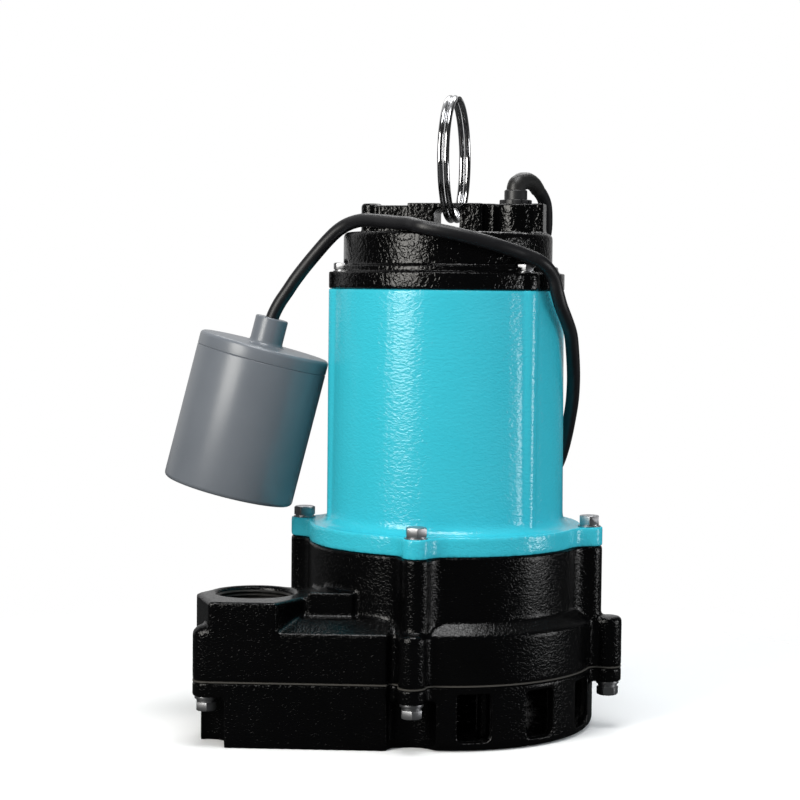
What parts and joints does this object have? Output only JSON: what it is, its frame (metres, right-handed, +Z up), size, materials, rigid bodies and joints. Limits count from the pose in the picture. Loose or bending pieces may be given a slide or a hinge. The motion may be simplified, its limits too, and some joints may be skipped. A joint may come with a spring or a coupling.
{
  "type": "submersible sump pump",
  "caption": "Submersible sump pump: slotted cast base and volute with an upright threaded discharge, round motor housing, capped top with a lifting ring, and a tethered float switch.",
  "frame": {"origin": "centre of the round casing, on the plane that the base stands on", "axes": "+Z up along the motor axis; -X towards the discharge arm; -Y towards the front"},
  "size_m": [0.3164, 0.3606, 0.3749],
  "materials": {
    "black_casting": "glossy hammered black enamel over cast iron",
    "teal_casting": "glossy textured teal enamel over cast aluminium",
    "stainless": "plain stainless, machined",
    "polished_ring": "polished bright wire",
    "steel_shaft": "ground steel",
    "bearing_steel": "polished bearing steel",
    "machined_alu": "as machined",
    "laminations": "stacked electrical steel, varnished",
    "copper": "enamelled copper wire",
    "nylon": "moulded, satin",
    "float_shell": "moulded, satin",
    "white_plastic": "moulded, matt",
    "cord": "matt jacket",
    "seal_rubber": "moulded, matt",
    "gasket": "fibre sheet, matt",
    "ceramic": "lapped, glossy",
    "carbon": "matt carbon",
    "cage_brass": "pressed",
    "blades": "stamped",
    "tie": "thin moulded band"
  },
  "bodies": {
    "pump": {"base_strainer": "black_casting", "bottom_plate": "black_casting", "plate_screws": "stainless", "volute_gasket": "gasket", "volute_casing": "black_casting", "base_bolts": "stainless", "flange_bolts": "stainless", "lower_bearing_plate": "machined_alu", "lower_bearing_outer_ring": "bearing_steel", "housing_o_ring": "seal_rubber", "motor_housing": "teal_casting", "stator_core": "laminations", "stator_windings": "copper", "upper_bearing_plate": "machined_alu", "upper_bearing_outer_ring": "bearing_steel", "preload_washer": "stainless", "run_capacitor": "machined_alu", "capacitor_strap": "stainless", "thermal_protector": "nylon", "cap_o_ring": "seal_rubber", "top_cap": "black_casting", "cap_screws": "stainless", "cord_gland_nut": "nylon", "cord_strain_relief": "cord", "seal_seat": "ceramic", "float_cord_run": "cord", "float_cord_coil": "cord", "float_coil_tie": "tie", "piggyback_plug_body": "nylon", "piggyback_plug_blades": "blades", "power_cord_run": "cord", "power_cord_coil": "cord", "power_coil_tie": "tie", "power_plug_body": "nylon", "power_plug_blades": "blades"},
    "rotor": {"motor_shaft": "steel_shaft", "rotor_core": "laminations", "rotor_end_rings": "machined_alu", "impeller": "carbon", "impeller_nut": "stainless", "seal_head": "carbon", "seal_spring": "stainless", "upper_bearing_inner_ring": "bearing_steel", "lower_bearing_inner_ring": "bearing_steel"},
    "upper_balls": {"upper_balls": "bearing_steel", "upper_cage": "cage_brass"},
    "lower_balls": {"lower_balls": "bearing_steel", "lower_cage": "cage_brass"},
    "lifting_ring": {"lifting_ring": "polished_ring"},
    "float": {"float_shell": "float_shell", "float_cap": "float_shell", "float_switch_tube": "white_plastic", "float_microswitch": "nylon", "float_lead": "cord"},
    "float_ball": {"float_ball": "bearing_steel"}
  },
  "joints": [
    {"name": "rotor_spin", "type": "hinge", "parent": "pump", "child": "rotor", "pos_m": [0, 0, 0.175], "axis": [0, 0, 1], "continuous": true},
    {"name": "upper_balls_orbit", "type": "hinge", "parent": "pump", "child": "upper_balls", "pos_m": [0, 0, 0.2495], "axis": [0, 0, 1], "continuous": true},
    {"name": "lower_balls_orbit", "type": "hinge", "parent": "pump", "child": "lower_balls", "pos_m": [0, 0, 0.1035], "axis": [0, 0, 1], "continuous": true},
    {"name": "ring_swing", "type": "hinge", "parent": "pump", "child": "lifting_ring", "pos_m": [0.0032, 0, 0.3008], "axis": [0, 1, 0], "range_deg": [-60, 50]},
    {"name": "float_swing", "type": "hinge", "parent": "pump", "child": "float", "pos_m": [-0.0555, -0.0205, 0.301], "axis": [-0.1822, 0.9833, 0], "range_deg": [0, 75]},
    {"name": "float_ball_roll", "type": "slide", "parent": "float", "child": "float_ball", "axis": [0.2395, 0.0444, 0.9699], "range_m": [0, 0.014]}
  ],
  "couplings": [
    {"joint": "upper_balls_orbit", "follows": "rotor_spin", "ratio": 0.3659},
    {"joint": "lower_balls_orbit", "follows": "rotor_spin", "ratio": 0.3659}
  ]
}
